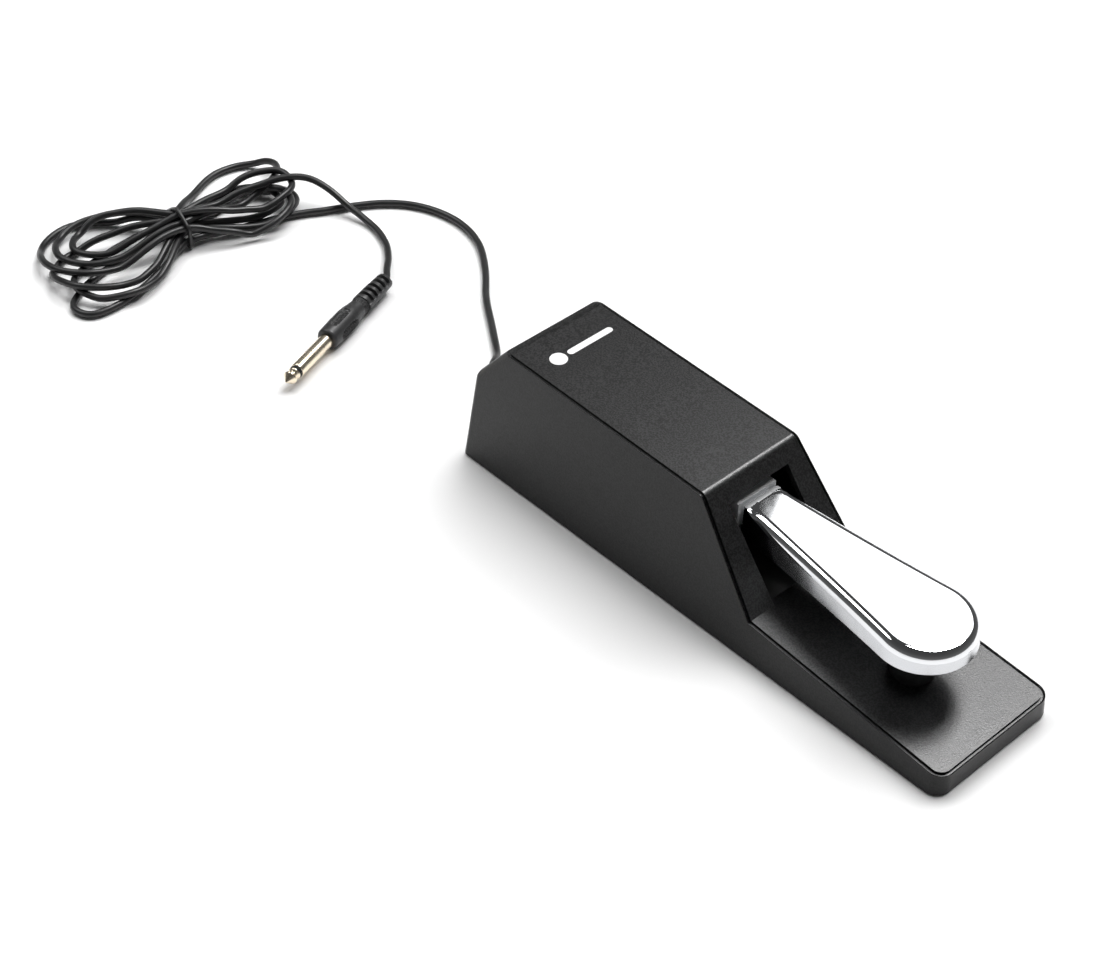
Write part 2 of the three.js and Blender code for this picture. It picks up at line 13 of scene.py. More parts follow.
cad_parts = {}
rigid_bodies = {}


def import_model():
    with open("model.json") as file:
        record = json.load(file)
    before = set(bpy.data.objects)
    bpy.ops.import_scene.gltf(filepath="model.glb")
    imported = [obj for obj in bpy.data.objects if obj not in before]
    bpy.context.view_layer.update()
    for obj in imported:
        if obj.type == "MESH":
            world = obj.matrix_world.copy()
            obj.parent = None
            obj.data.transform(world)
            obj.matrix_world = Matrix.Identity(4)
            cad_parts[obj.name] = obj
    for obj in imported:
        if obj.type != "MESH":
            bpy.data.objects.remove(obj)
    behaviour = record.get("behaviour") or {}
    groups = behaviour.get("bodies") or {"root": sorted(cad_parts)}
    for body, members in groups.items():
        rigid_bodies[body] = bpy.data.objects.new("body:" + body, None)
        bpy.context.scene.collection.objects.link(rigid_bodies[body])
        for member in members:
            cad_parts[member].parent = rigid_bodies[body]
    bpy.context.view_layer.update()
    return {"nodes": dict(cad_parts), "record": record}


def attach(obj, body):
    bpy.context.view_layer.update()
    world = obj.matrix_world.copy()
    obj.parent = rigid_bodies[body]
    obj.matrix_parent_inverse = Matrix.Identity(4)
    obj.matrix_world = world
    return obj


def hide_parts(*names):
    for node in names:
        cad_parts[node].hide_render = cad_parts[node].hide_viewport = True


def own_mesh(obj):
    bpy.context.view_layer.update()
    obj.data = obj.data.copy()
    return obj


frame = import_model()
MM = 0.001

# ---- the object's main sizes, as the model has them ---------------------------------------------
HALF = 125.0
RIM_Z = 0.5
REAR_UPPER = (-120.5, 41.5)
REAR_TOP = (-105.0, 59.6)
RIDGE = (2.3, 56.9)
FOOT = (32.1, 17.1)
TOE_Z = 9.5
HALF_WIDTH = 31.0
DRAFT = 0.104
WALL = 2.5
WINDOW_HALF, WINDOW_TOP, WINDOW_BOTTOM = 15.6, 51.0, 17.4
LEVER = dict(rear=7.5, tip=88.0, radius=19.6, rear_half=9.9, bottom=34.0, top=46.3, slope=0.05)
BUMPER_X, BUMPER_R, BUMPER_TOP, BUMPER_EDGE = 85.0, 8.4, 21.8, 1.2
SPRING = (-6.0, 5.3, 0.75, 8, 9.4, 43.8)  # x, coil radius, wire radius, turns, bottom, top
EXIT_Z = 10.4
CORD_R = 1.6
PLUG_TIP, PLUG_TURN = (-203.9, -59.8, 5.4), 109.6


def deck_z(x):
    return FOOT[1] + (x - FOOT[0]) * (TOE_Z - FOOT[1]) / (HALF - FOOT[0])


def half_width(z):
    return HALF_WIDTH - DRAFT * z


def lever_top(x):
    return LEVER["top"] - LEVER["slope"] * (x - 10)


# ---- camera -------------------------------------------------------------------------------------
def make_camera():
    azimuth, elevation, roll = math.radians(137.934), math.radians(41.779), math.radians(-0.6)
    look = Vector((
        math.cos(azimuth) * math.cos(elevation),
        math.sin(azimuth) * math.cos(elevation),
        -math.sin(elevation),
    ))
    data = bpy.data.cameras.new("camera")
    data.lens = 73.41
    data.sensor_width = 36
    data.clip_start, data.clip_end = 0.05, 20
    camera = bpy.data.objects.new("camera", data)
    camera.location = (0.4140, -0.4666, 0.6025)
    upright = look.to_track_quat("-Z", "Y")
    camera.rotation_euler = (upright @ Quaternion((0, 0, 1), roll)).to_euler()
    bpy.context.collection.objects.link(camera)
    bpy.context.scene.camera = camera


make_camera()


# ---- materials ----------------------------------------------------------------------------------
class Shader:
    """A principled material with a few procedural layers."""

    def __init__(self, name, colour, roughness, metallic=0.0, coat=0.0, specular=0.5):
        self.name = name
        self.material = bpy.data.materials.new(name)
        self.material.use_nodes = True
        self.nodes = self.material.node_tree.nodes
        self.links = self.material.node_tree.links
        self.base = self.nodes["Principled BSDF"]
        self.base.inputs["Base Color"].default_value = (*colour, 1)
        self.base.inputs["Roughness"].default_value = roughness
        self.base.inputs["Metallic"].default_value = metallic
        self.base.inputs["Coat Weight"].default_value = coat
        self.base.inputs["Specular IOR Level"].default_value = specular
        self.place = self.nodes.new("ShaderNodeTexCoord").outputs["Object"]
        self.normal = None

    def noise(self, per_metre, detail=2.0, stretch=(1, 1, 1)):
        mapping = self.nodes.new("ShaderNodeMapping")
        mapping.inputs["Scale"].default_value = stretch
        self.links.new(self.place, mapping.inputs["Vector"])
        node = self.nodes.new("ShaderNodeTexNoise")
        node.inputs["Scale"].default_value = per_metre
        node.inputs["Detail"].default_value = detail
        self.links.new(mapping.outputs["Vector"], node.inputs["Vector"])
        return node.outputs["Fac"]

    def ramp(self, value, low, high, spread=0.2):
        node = self.nodes.new("ShaderNodeMapRange")
        node.inputs["From Min"].default_value = 0.5 - spread
        node.inputs["From Max"].default_value = 0.5 + spread
        node.inputs["To Min"].default_value = low
        node.inputs["To Max"].default_value = high
        self.links.new(value, node.inputs["Value"])
        return node.outputs["Result"]

    def bump(self, value, height, strength=1.0):
        node = self.nodes.new("ShaderNodeBump")
        node.inputs["Distance"].default_value = height
        node.inputs["Strength"].default_value = strength
        self.links.new(value, node.inputs["Height"])
        if self.normal:
            self.links.new(self.normal, node.inputs["Normal"])
        self.normal = node.outputs["Normal"]
        self.links.new(self.normal, self.base.inputs["Normal"])
        return self

    def vary_roughness(self, per_metre, low, high):
        self.links.new(self.ramp(self.noise(per_metre), low, high), self.base.inputs["Roughness"])
        return self

    def vary_colour(self, per_metre, dark, light, spread=0.2):
        node = self.nodes.new("ShaderNodeMix")
        node.data_type = "RGBA"
        node.inputs[6].default_value = (*dark, 1)
        node.inputs[7].default_value = (*light, 1)
        self.links.new(self.ramp(self.noise(per_metre, 3), 0, 1, spread), node.inputs[0])
        self.links.new(node.outputs[2], self.base.inputs["Base Color"])
        return self


def grey(value):
    return (value, value, value * 1.03)


def make_materials():
    grain = Shader("grained_plastic", grey(0.009), 0.33, specular=0.53)
    grain.bump(grain.noise(2200, 1.0), 0.0001, 0.6)
    grain.vary_roughness(1800, 0.29, 0.37).vary_colour(1400, grey(0), grey(0.019), 0.05)
    satin = Shader("satin_plastic", grey(0.003), 0.33, specular=0.31)
    satin.bump(satin.noise(1900, 1.0), 0.00006, 0.5)
    satin.vary_roughness(300, 0.34, 0.39).vary_colour(1400, grey(0), grey(0.006), 0.06)
    chrome = Shader("polished_chrome", (0.84, 0.85, 0.87), 0.045, 1.0)
    chrome.bump(chrome.noise(60, 2.0), 0.00002, 0.06).vary_roughness(220, 0.03, 0.06)
    # Darker, rougher copy of the chrome for the lever's skirt and underside: the roughness is a finish, the
    # darker colour is painted shade.
    rough_chrome_painted_shade = Shader("rough_chrome_painted_shade", (0.67, 0.68, 0.7), 0.2, 1.0)
    rough_chrome_painted_shade.bump(rough_chrome_painted_shade.noise(60, 2.0), 0.00002, 0.06).vary_roughness(220, 0.17, 0.22)
    nickel = Shader("warm_nickel", (0.9, 0.79, 0.62), 0.26, 1.0)
    nickel.bump(nickel.noise(300, 1.0), 0.000003, 0.1).vary_roughness(200, 0.24, 0.28)
    # Dim satin metal for the lever's rear facet: the satin is a finish, the dim grey is painted shade at
    # the rear end.
    cast = Shader("satin_cast_painted_shade", (0.36, 0.365, 0.37), 0.45, 0.35)
    cast.bump(cast.noise(900, 2.0), 0.00001, 0.3).vary_roughness(500, 0.45, 0.55)
    # Near-white cast metal for the lever arm: painted light, the pale colour lights the arm's top where it
    # lies in the window's shade.
    painted_light_cast = Shader("painted_light_cast_metal", (0.86, 0.87, 0.88), 0.5, 0.1)
    painted_light_cast.bump(painted_light_cast.noise(900, 2.0), 0.00001, 0.3).vary_roughness(500, 0.45, 0.55)
    # Near-black for the bottom plate in place of its zinc slot: painted shade, it keeps the inside seen
    # through the window dark.
    paint = Shader("near_black_plate_painted_shade", grey(0.01), 0.5, specular=0.3)
    paint.bump(paint.noise(1500, 2.0), 0.00002, 0.4).vary_roughness(250, 0.45, 0.6)
    zinc = Shader("zinc_plate", (0.6, 0.61, 0.62), 0.33, 1.0)
    zinc.bump(zinc.noise(1500, 2.0), 0.00001, 0.4).vary_roughness(250, 0.25, 0.42)
    zinc.vary_colour(120, (0.53, 0.54, 0.56), (0.66, 0.67, 0.66))
    rubber = Shader("black_rubber", grey(0.008), 0.65, specular=0.3)
    rubber.bump(rubber.noise(1400, 2.0), 0.00004, 0.5).vary_roughness(200, 0.6, 0.8)
    nylon = Shader("natural_nylon", (0.75, 0.72, 0.64), 0.45)
    nylon.bump(nylon.noise(800, 2.0), 0.00003, 0.4)
    nylon.vary_colour(90, (0.7, 0.67, 0.6), (0.78, 0.75, 0.68))
    cord = Shader("cord_pvc", grey(0.014), 0.34, specular=0.45)
    cord.bump(cord.noise(900, 2.0), 0.00003, 0.3).vary_roughness(120, 0.33, 0.45)
    cord.vary_colour(150, grey(0.012), grey(0.017))
    plug = Shader("plug_pvc", grey(0.022), 0.4, specular=0.48)
    plug.bump(plug.noise(1500, 2.0), 0.00003, 0.4).vary_roughness(200, 0.38, 0.5)
    red = Shader("red_plastic", (0.5, 0.03, 0.02), 0.35)
    red.bump(red.noise(900), 0.00002, 0.3)
    wire_red = Shader("wire_red", (0.45, 0.025, 0.02), 0.45)
    wire_red.bump(wire_red.noise(900), 0.00002, 0.3)
    wire_white = Shader("wire_white", (0.7, 0.7, 0.67), 0.45)
    wire_white.bump(wire_white.noise(900), 0.00002, 0.3)
    ink = Shader("white_ink", (0.85, 0.85, 0.85), 0.5)
    ink.bump(ink.noise(1700, 1.0), 0.00005, 0.5)
    ink.vary_colour(600, (0.8, 0.8, 0.8), (0.88, 0.88, 0.88))
    shaders = [
        grain, satin, chrome, rough_chrome_painted_shade, nickel, cast, painted_light_cast, paint, zinc, rubber, nylon,
        cord, plug, red, wire_red, wire_white, ink,
    ]
    return {shader.name: shader.material for shader in shaders}


MAT = make_materials()
SLOT_MATERIAL = {
    "housing_plastic": "satin_plastic",
    "chrome": "polished_chrome",
    "zinc_steel": "zinc_plate",
    "nickel": "warm_nickel",
    "rubber": "black_rubber",
    "nylon": "natural_nylon",
    "cord_pvc": "cord_pvc",
    "switch_plastic": "satin_plastic",
    "red_plastic": "red_plastic",
    "wire_red": "wire_red",
    "wire_white": "wire_white",
}
# The bottom plate's near-black is painted shade.
# The lever arm's pale cast metal is painted light.
NODE_MATERIAL = {"lever_arm": "painted_light_cast_metal", "bottom_plate": "near_black_plate_painted_shade"}


def dress_cad_nodes():
    for row in frame["record"]["subparts"]:
        node = frame["nodes"][row["node"]]
        if isinstance(node, str):
            node = bpy.data.objects[row["node"]]
        node.data.materials.clear()
        material = NODE_MATERIAL.get(row["node"], SLOT_MATERIAL[row["material_slot"]])
        node.data.materials.append(MAT[material])


dress_cad_nodes()


# ---- mesh helpers -------------------------------------------------------------------------------
def piece_from(name, bm, materials, body, smooth_deg=32.0):
    """Turn a bmesh in millimetres into a finished piece that rides on a body."""
    bmesh.ops.recalc_face_normals(bm, faces=bm.faces)
    bmesh.ops.scale(bm, vec=(MM, MM, MM), verts=bm.verts)
    mark_sharp(bm, smooth_deg)
    mesh = bpy.data.meshes.new(name)
    bm.to_mesh(mesh)
    bm.free()
    piece = bpy.data.objects.new(name, mesh)
    bpy.context.collection.objects.link(piece)
    for material in materials:
        mesh.materials.append(MAT[material])
    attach(piece, body)
    return piece


def mark_sharp(bm, degrees):
    for face in bm.faces:
        face.smooth = True
    for edge in bm.edges:
        sharp = len(edge.link_faces) != 2 or edge.calc_face_angle(0) > math.radians(degrees)
        edge.smooth = not sharp


def weighted_normals(piece):
    modifier = piece.modifiers.new("weighted_normals", "WEIGHTED_NORMAL")
    modifier.keep_sharp = True
    modifier.weight = 80


def skin(rings, cap_first=True, cap_last=True):
    """A bmesh through rings of points (millimetres) with equal counts."""
    bm = bmesh.new()
    rows = [[bm.verts.new(point) for point in ring] for ring in rings]
    count = len(rings[0])
    for lower, upper in zip(rows, rows[1:]):
        for i in range(count):
            j = (i + 1) % count
            bm.faces.new((lower[i], lower[j], upper[j], upper[i]))
    if cap_first:
        bm.faces.new(rows[0][::-1])
    if cap_last:
        bm.faces.new(rows[-1])
    return bm


def turned(stations, sides, radius_of=None):
    """A round skin about X from (along, radius); radius_of(along, angle, radius) shapes it."""
    rings = []
    for along, radius in stations:
        ring = []
        for i in range(sides):
            angle = 2 * math.pi * i / sides
            r = radius_of(along, angle, radius) if radius_of else radius
            ring.append((along, r * math.cos(angle), r * math.sin(angle)))
        rings.append(ring)
    return skin(rings)


def fine(points, step):
    """Points along a profile, no further apart than step."""
    out = []
    for (x0, r0), (x1, r1) in zip(points, points[1:]):
        count = max(1, math.ceil(math.hypot(x1 - x0, r1 - r0) / step))
        out += [(x0 + (x1 - x0) * k / count, r0 + (r1 - r0) * k / count) for k in range(count)]
    return out + [points[-1]]


def object_of(bm, name):
    mesh = bpy.data.meshes.new(name)
    bm.to_mesh(mesh)
    bm.free()
    made = bpy.data.objects.new(name, mesh)
    bpy.context.collection.objects.link(made)
    return made


def carve(bm, cutters):
    """Subtract closed bmeshes from bm, and give the result as a new bmesh."""
    body = object_of(bm, "carve_body")
    tools = [object_of(cutter, "carve_tool") for cutter in cutters]
    for tool in tools:
        modifier = body.modifiers.new("cut", "BOOLEAN")
        modifier.operation = "DIFFERENCE"
        modifier.solver = "EXACT"
        modifier.object = tool
    depsgraph = bpy.context.evaluated_depsgraph_get()
    result = bmesh.new()
    result.from_mesh(body.evaluated_get(depsgraph).to_mesh())
    for made in [body, *tools]:
        bpy.data.objects.remove(made, do_unlink=True)
    return result


def prism(profile, half_of):
    """A closed bmesh whose side profile (x, z) is carried out to y = -half and +half."""
    bm = bmesh.new()
    near = [bm.verts.new((x, -half_of(z), z)) for x, z in profile]
    far = [bm.verts.new((x, half_of(z), z)) for x, z in profile]
    count = len(profile)
    for i in range(count):
        j = (i + 1) % count
        bm.faces.new((near[i], near[j], far[j], far[i]))
    bm.faces.new(near[::-1])
    bm.faces.new(far)
    bmesh.ops.recalc_face_normals(bm, faces=bm.faces)
    return bm


def round_edges(bm, chosen, width, segments):
    edges = [edge for edge in bm.edges if chosen(*[vert.co for vert in edge.verts])]
    bmesh.ops.bevel(bm, geom=edges, offset=width, segments=segments, affect="EDGES", profile=0.5)


# ---- cord ---------------------------------------------------------------------------------------
RUN = [
    (-137.3, 0, 10.4), (-140, 0.1, 10.3), (-146, 2.8, 8.2), (-152.5, 9.5, 4.2), (-160, 18.5, 2),
    (-176, 30, 1.9), (-194, 42.2, 1.9), (-211, 56.4, 1.9), (-228, 66.9, 1.9), (-244, 70.6, 1.9),
    (-258, 69.2, 1.9), (-271, 63.8, 1.9), (-281, 55, 1.9), (-289, 43, 1.9), (-295, 31.5, 1.9),
    (-300.5, 22, 1.9),
]
INTO_HANK = [(-305, 11), (-309.5, -3)]
IN_PLUG = 54.0  # where the cord ends inside the plug, from the plug's tip
OUT_OF_HANK = [(-323.5, -8), (-321, 7), (-316, 20.5)]
TAIL = [
    (-308, 31.6, 8.6), (-299, 36, 7.2), (-284.5, 39.4, 5.6), (-270, 40.2, 2.6), (-255.5, 35.8, 1.9),
    (-244.5, 28.4, 2.6), (-236.6, 21.2, 4.6), (-231.2, 16.4, 5.4),
]
TIE = np.array([-324.0, -28.0])
BUNDLE = math.radians(-98)  # heading of the tied bundle, towards the wider fan
SIDE = np.array([-math.sin(BUNDLE), math.cos(BUNDLE)])
LOBE_STEPS = 9
PITCH = 3.35  # between strands side by side
# each loop of the hank: heading in degrees, reach from the tie, half width, sideways shift of its middle
WIDE_FAN = [
    (-74, 68.5, 10.5, -1.5), (-74, 59, 17, -5), (-86, 62, 20, -6), (-115, 63, 22, 0), (-122, 56, 17, 2),
    (-128, 48, 12, 6),
]
NARROW_FAN = [(77, 57, 15, 2), (82, 51, 12, 1), (74, 53, 15, 0), (107, 64, 16, -1), (79, 57, 12, 2)]
STEP = 1.5


def heading(angle):
    return np.array([math.cos(angle), math.sin(angle)])


def strand_offset(index):
    """Sideways place of a strand in the tie; strands going out lie across from those coming back."""
    column = (index // 2) % 3
    side = 1 if index % 2 == 0 else -1
    return side * (2.5 - column) * PITCH


def lobe(fan, leave, back):
    """Plan points of one drop-shaped loop, from its strand in the tie and back to the next strand."""
    degrees, reach, half, shift = fan
    along = heading(math.radians(degrees))
    across = np.array([-along[1], along[0]])
    turn = 1.0 if np.dot(SIDE * (leave - back), across) > 0 else -1.0
    points = [TIE + SIDE * leave]
    for i in range(1, LOBE_STEPS):
        share = i / LOBE_STEPS
        rise = math.sin(math.pi * share)
        swing = math.sin(2 * math.pi * share) * rise**1.3 / 0.73
        start = SIDE * (leave + (back - leave) * share) * (1 - rise**2)
        sideways = turn * half * swing + shift * rise**2
        points.append(TIE + start + along * reach * rise**2 + across * sideways)
    return points


def hank_plan():
    points = []
    for turn, wide in enumerate(WIDE_FAN):
        first = 2 * turn
        points += lobe(wide, strand_offset(first), strand_offset(first + 1))
        if turn < len(NARROW_FAN):
            points += lobe(NARROW_FAN[turn], strand_offset(first + 1), strand_offset(first + 2))
        else:
            points.append(TIE + SIDE * strand_offset(first + 1))
    return points


def mix(low, high, at, first, second):
    """The value between first and second, where at lies between low and high."""
    return (high - at) / (high - low) * first + (at - low) / (high - low) * second


def smooth_line(points, step=STEP):
    """A centripetal Catmull-Rom curve through the points, resampled to an even step."""
    p = np.asarray(points, float)
    p = np.vstack([2 * p[0] - p[1], p, 2 * p[-1] - p[-2]])
    t = np.concatenate([[0], np.cumsum(np.linalg.norm(np.diff(p, axis=0), axis=1) ** 0.5)])
    out = []
    for i in range(1, len(p) - 2):
        u = np.linspace(t[i], t[i + 1], 24, endpoint=False)[:, None]
        a1 = mix(t[i - 1], t[i], u, p[i - 1], p[i])
        a2 = mix(t[i], t[i + 1], u, p[i], p[i + 1])
        a3 = mix(t[i + 1], t[i + 2], u, p[i + 1], p[i + 2])
        b1 = mix(t[i - 1], t[i + 1], u, a1, a2)
        b2 = mix(t[i], t[i + 2], u, a2, a3)
        out.append(mix(t[i], t[i + 1], u, b1, b2))
    line = np.vstack([*out, p[-2][None]])
    along = np.concatenate([[0], np.cumsum(np.linalg.norm(np.diff(line, axis=0), axis=1))])
    even = np.linspace(0, along[-1], max(2, round(along[-1] / step)))
    return np.column_stack([np.interp(even, along, line[:, k]) for k in range(line.shape[1])])


def blur(values, spread):
    reach = int(spread * 3)
    weights = np.exp(-0.5 * (np.arange(-reach, reach + 1) / spread) ** 2)
    padded = np.pad(values, reach, mode="edge")
    return np.convolve(padded, weights / weights.sum(), mode="valid")


def cord_line():
    """The whole cord: plan from the lists and the hank's loops, height from what each strand lies on."""
    plan = [(x, y, z) for x, y, z in RUN]
    plan += [(x, y, 1.9) for x, y in INTO_HANK]
    plan += [(x, y, 1.9) for x, y in hank_plan()]
    plan += [(x, y, 1.9) for x, y in OUT_OF_HANK]
    plan += [(x, y, min(z, 5.4) if x > -240 else 1.9) for x, y, z in TAIL]
    turn = math.radians(PLUG_TURN)
    for along in (76, 66, IN_PLUG):
        x, y = PLUG_TIP[:2] + heading(turn) * along
        plan.append((x, y, PLUG_TIP[2]))
    line = smooth_line(plan)
    away = line[:, :2] - TIE
    lifted = 1.9 * np.exp(-((away @ heading(BUNDLE)) / 11) ** 2) * (np.linalg.norm(away, axis=1) < 40)
    floor = np.maximum(line[:, 2], CORD_R + 0.2) + lifted
    curve = 0.012
    for _ in range(2):
        height, need = lay_down(line, floor, curve)
        floor = np.maximum(floor, lookahead(need, floor, curve))
    line[:, 2] = np.maximum(blur(height, 2.0), CORD_R + 0.1)
    return line


def lay_down(line, floor, curve, block=12):
    """Height of each point on top of the earlier strands that it crosses, and the height it needs there."""
    gap = 2 * CORD_R + 0.06
    need = floor.copy()
    height = floor.copy()
    for start in range(0, len(line), block):
        stop = min(len(line), start + block)
        earlier = slice(0, max(0, start - 8))
        if earlier.stop == 0:
            continue
        distance = np.linalg.norm(line[start:stop, None, :2] - line[None, earlier, :2], axis=2)
        above = height[earlier] + np.sqrt(np.maximum(gap**2 - distance**2, 0))
        rise = np.where(distance < gap, above, 0)
        need[start:stop] = np.maximum(floor[start:stop], rise.max(axis=1))
        reach = np.arange(max(0, start - 20), stop)
        span = (np.arange(start, stop)[:, None] - reach[None]) * STEP
        height[start:stop] = (need[reach][None] - curve * span**2).max(axis=1)
        height[start:stop] = np.maximum(height[start:stop], floor[start:stop])
    return height, need


def lookahead(need, floor, curve, reach=14):
    """Start each rise before the strand that causes it, as a stiff cord does."""
    out = floor.copy()
    for shift in range(1, reach):
        ahead = np.concatenate([need[shift:], np.zeros(shift)]) - curve * (shift * STEP) ** 2
        out = np.maximum(out, ahead)
    return out


def make_cord():
    line = cord_line()
    data = bpy.data.curves.new("cord", "CURVE")
    data.dimensions = "3D"
    data.bevel_depth = CORD_R * MM
    data.bevel_resolution = 4
    data.use_fill_caps = True
    spline = data.splines.new("POLY")
    spline.points.add(len(line) - 1)
    for point, place in zip(spline.points, line):
        point.co = (*(place * MM), 1)
    spline.use_smooth = True
    data.materials.append(MAT["cord_pvc"])
    cord = bpy.data.objects.new("cord", data)
    bpy.context.collection.objects.link(cord)
    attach(cord, "base")
    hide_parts("cord_run", "cord_hank", "cord_tail")
    return cord, line


def make_tie(line):
    """Thin wire round the bundle: the outline of the strands where they pass the tie."""
    away = line[:, :2] - TIE
    along = away @ heading(BUNDLE)
    across = away @ SIDE
    strands = []
    for i in range(len(line) - 1):
        if along[i] * along[i + 1] <= 0 and abs(across[i]) < 16:
            strands.append((across[i], line[i, 2]))
    wire = 0.95
    reach = CORD_R + wire + 0.15
    corners = [
        (a + reach * math.cos(t), z + reach * math.sin(t))
        for a, z in strands
        for t in np.linspace(0, 2 * math.pi, 16, endpoint=False)
    ]
    loop = outline(corners)
    points = [(*(TIE + SIDE * a + heading(BUNDLE) * 0.04 * z), z) for a, z in loop]
    ring = smooth_line([*points, points[0]], 0.8)[:-1]
    data = bpy.data.curves.new("hank_tie_wire", "CURVE")
    data.dimensions = "3D"
    data.bevel_depth = wire * MM
    data.bevel_resolution = 3
    data.use_fill_caps = True
    spline = data.splines.new("POLY")
    spline.points.add(len(ring) - 1)
    for point, place in zip(spline.points, ring):
        point.co = (*(place * MM), 1)
    spline.use_cyclic_u = True
    spline.use_smooth = True
    data.materials.append(MAT["cord_pvc"])
    tie = bpy.data.objects.new("hank_tie_wire", data)
    bpy.context.collection.objects.link(tie)
    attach(tie, "base")
    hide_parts("hank_tie")
    return tie


def outline(points):
    """Convex outline of points in a plane, counter-clockwise."""
    ordered = sorted(set((round(a, 4), round(b, 4)) for a, b in points))

    def chain(items):
        out = []
        for p in items:
            while len(out) > 1 and cross(out[-2], out[-1], p) <= 0:
                out.pop()
            out.append(p)
        return out[:-1]

    return chain(ordered) + chain(ordered[::-1])


def cross(o, a, b):
    return (a[0] - o[0]) * (b[1] - o[1]) - (a[1] - o[1]) * (b[0] - o[0])


cord, cord_points = make_cord()
tie = make_tie(cord_points)


# ---- plug ---------------------------------------------------------------------------------------
def place_plug(bm):
    matrix = Matrix.Translation(PLUG_TIP) @ Matrix.Rotation(math.radians(PLUG_TURN), 4, "Z")
    bmesh.ops.transform(bm, matrix=matrix, verts=bm.verts)


def smoothstep(low, high, value):
    t = min(1.0, max(0.0, (value - low) / (high - low)))
    return t * t * (3 - 2 * t)


def plug_body_radius(along, angle, radius):
    """Body with four stippled oval pads and a knurled collar."""
    quarter = (angle + math.pi / 4) % (math.pi / 2) - math.pi / 4
    oval = (abs(along - 43) / 6.2) ** 4 + (abs(quarter * radius) / 2.1) ** 4
    if oval < 1.25:
        depth = 0.65 * (1 - smoothstep(0.95, 1.2, oval))
        stipple = math.sin(along * 4.4 + quarter * 9) * math.cos(quarter * radius * 5.2)
        return radius - depth + 0.36 * stipple * (1 - smoothstep(0.6, 0.95, oval))
    if 56.6 < along < 59.9:
        return radius + 0.3 * math.cos(angle * 24) * math.cos(along * 7.0)
    return radius


def boot_radius(along, angle, radius):
    """Ribbed boot: slots across it, and a plain rail along each side."""
    rail = abs(math.cos(angle)) > 0.95
    slot = (along - 62.2) % 3.5
    inside = 62 < along < 78.5 and slot < 1.8
    if rail:
        return radius * 1.1
    if not inside:
        return radius
    return radius - 1.4 * smoothstep(0, 0.25, slot) * (1 - smoothstep(1.55, 1.8, slot))


def make_plug():
    tip = [
        (0.0, 0.12), (0.15, 0.35), (2.7, 2.55), (3.2, 3.0), (3.6, 3.1), (4.1, 2.95), (4.6, 2.4),
        (5.0, 2.1), (5.4, 2.05), (5.8, 2.3), (6.2, 2.75), (6.7, 2.9), (6.9, 2.8),
    ]
    insulator = [(7.0, 2.75), (7.1, 2.9), (8.4, 2.9), (8.5, 2.8)]
    sleeve = [(8.6, 2.9), (8.75, 3.1), (9.0, 3.17), (31.7, 3.17)]
    body = [
        (31.9, 3.3), (31.9, 4.3), (32.2, 4.7), (33.0, 5.05), (40, 5.28), (48, 5.28), (51, 5.0),
        (54, 4.45), (56.4, 4.15), (56.5, 3.95), (59.9, 3.95), (60.0, 3.7),
    ]
    boot = [
        (60.1, 3.6), (60.2, 4.2), (60.8, 4.35), (70, 4.15), (78.6, 3.75), (79.6, 3.5), (80, 3.0), (80, 1.7),
    ]
    plans = [
        ("plug_tip_turned", fine(tip, 0.3), 48, None, "warm_nickel", "nickel", "plug_tip"),
        ("plug_ring_turned", fine(insulator, 0.4), 48, None, "black_rubber", "rubber", "plug_insulator"),
        ("plug_sleeve_turned", fine(sleeve, 2.0), 64, None, "warm_nickel", "nickel", "plug_sleeve"),
        ("plug_body_moulded", fine(body, 0.3), 144, plug_body_radius, "plug_pvc", "cord_pvc", "plug_body"),
        ("plug_boot_moulded", fine(boot, 0.25), 96, boot_radius, "plug_pvc", "cord_pvc", "plug_boot"),
    ]
    pieces = []
    for name, stations, sides, shape, material, slot, node in plans:
        bm = turned(stations, sides, shape)
        place_plug(bm)
        piece = piece_from(name, bm, [material], "base", 50)
        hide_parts(node)
        pieces.append(piece)
    return pieces


plug_pieces = make_plug()


def make_relief():
    """Strain relief: a collar each side of the rear wall, and a tapered tail with slots across it."""
    stations = [
        (-118.5, 4.9), (-118.5, 5.2), (-118.7, 5.4), (-120.1, 5.4), (-120.3, 5.2), (-120.3, 3.8),
        (-125.2, 3.8), (-125.2, 5.1), (-125.4, 5.4), (-126.5, 5.4), (-126.8, 5.1), (-126.8, 3.6),
        (-127.2, 3.5), (-136.6, 2.45), (-137, 2.2), (-137, 1.7),
    ]

    def ribs(along, angle, radius):
        on_tail = -136.2 < along < -127.8
        in_slot = (-along - 128) % 2.4 < 0.9
        off_rail = abs(math.cos(angle)) < 0.9
        return radius - 0.75 if on_tail and in_slot and off_rail else radius

    bm = turned(fine(stations, 0.3), 48, ribs)
    bmesh.ops.translate(bm, vec=(0, 0, EXIT_Z), verts=bm.verts)
    piece = piece_from("strain_relief_ribbed", bm, ["plug_pvc"], "base", 45)
    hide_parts("strain_relief")
    return piece


relief = make_relief()


# ---- housing ------------------------------------------------------------------------------------
def slanted_x(z):
    return RIDGE[0] + (z - RIDGE[1]) * (FOOT[0] - RIDGE[0]) / (FOOT[1] - RIDGE[1])


def outer_profile():
    return [(-HALF, RIM_Z), (HALF, RIM_Z), (HALF, deck_z(HALF)), FOOT, RIDGE, REAR_TOP, REAR_UPPER]


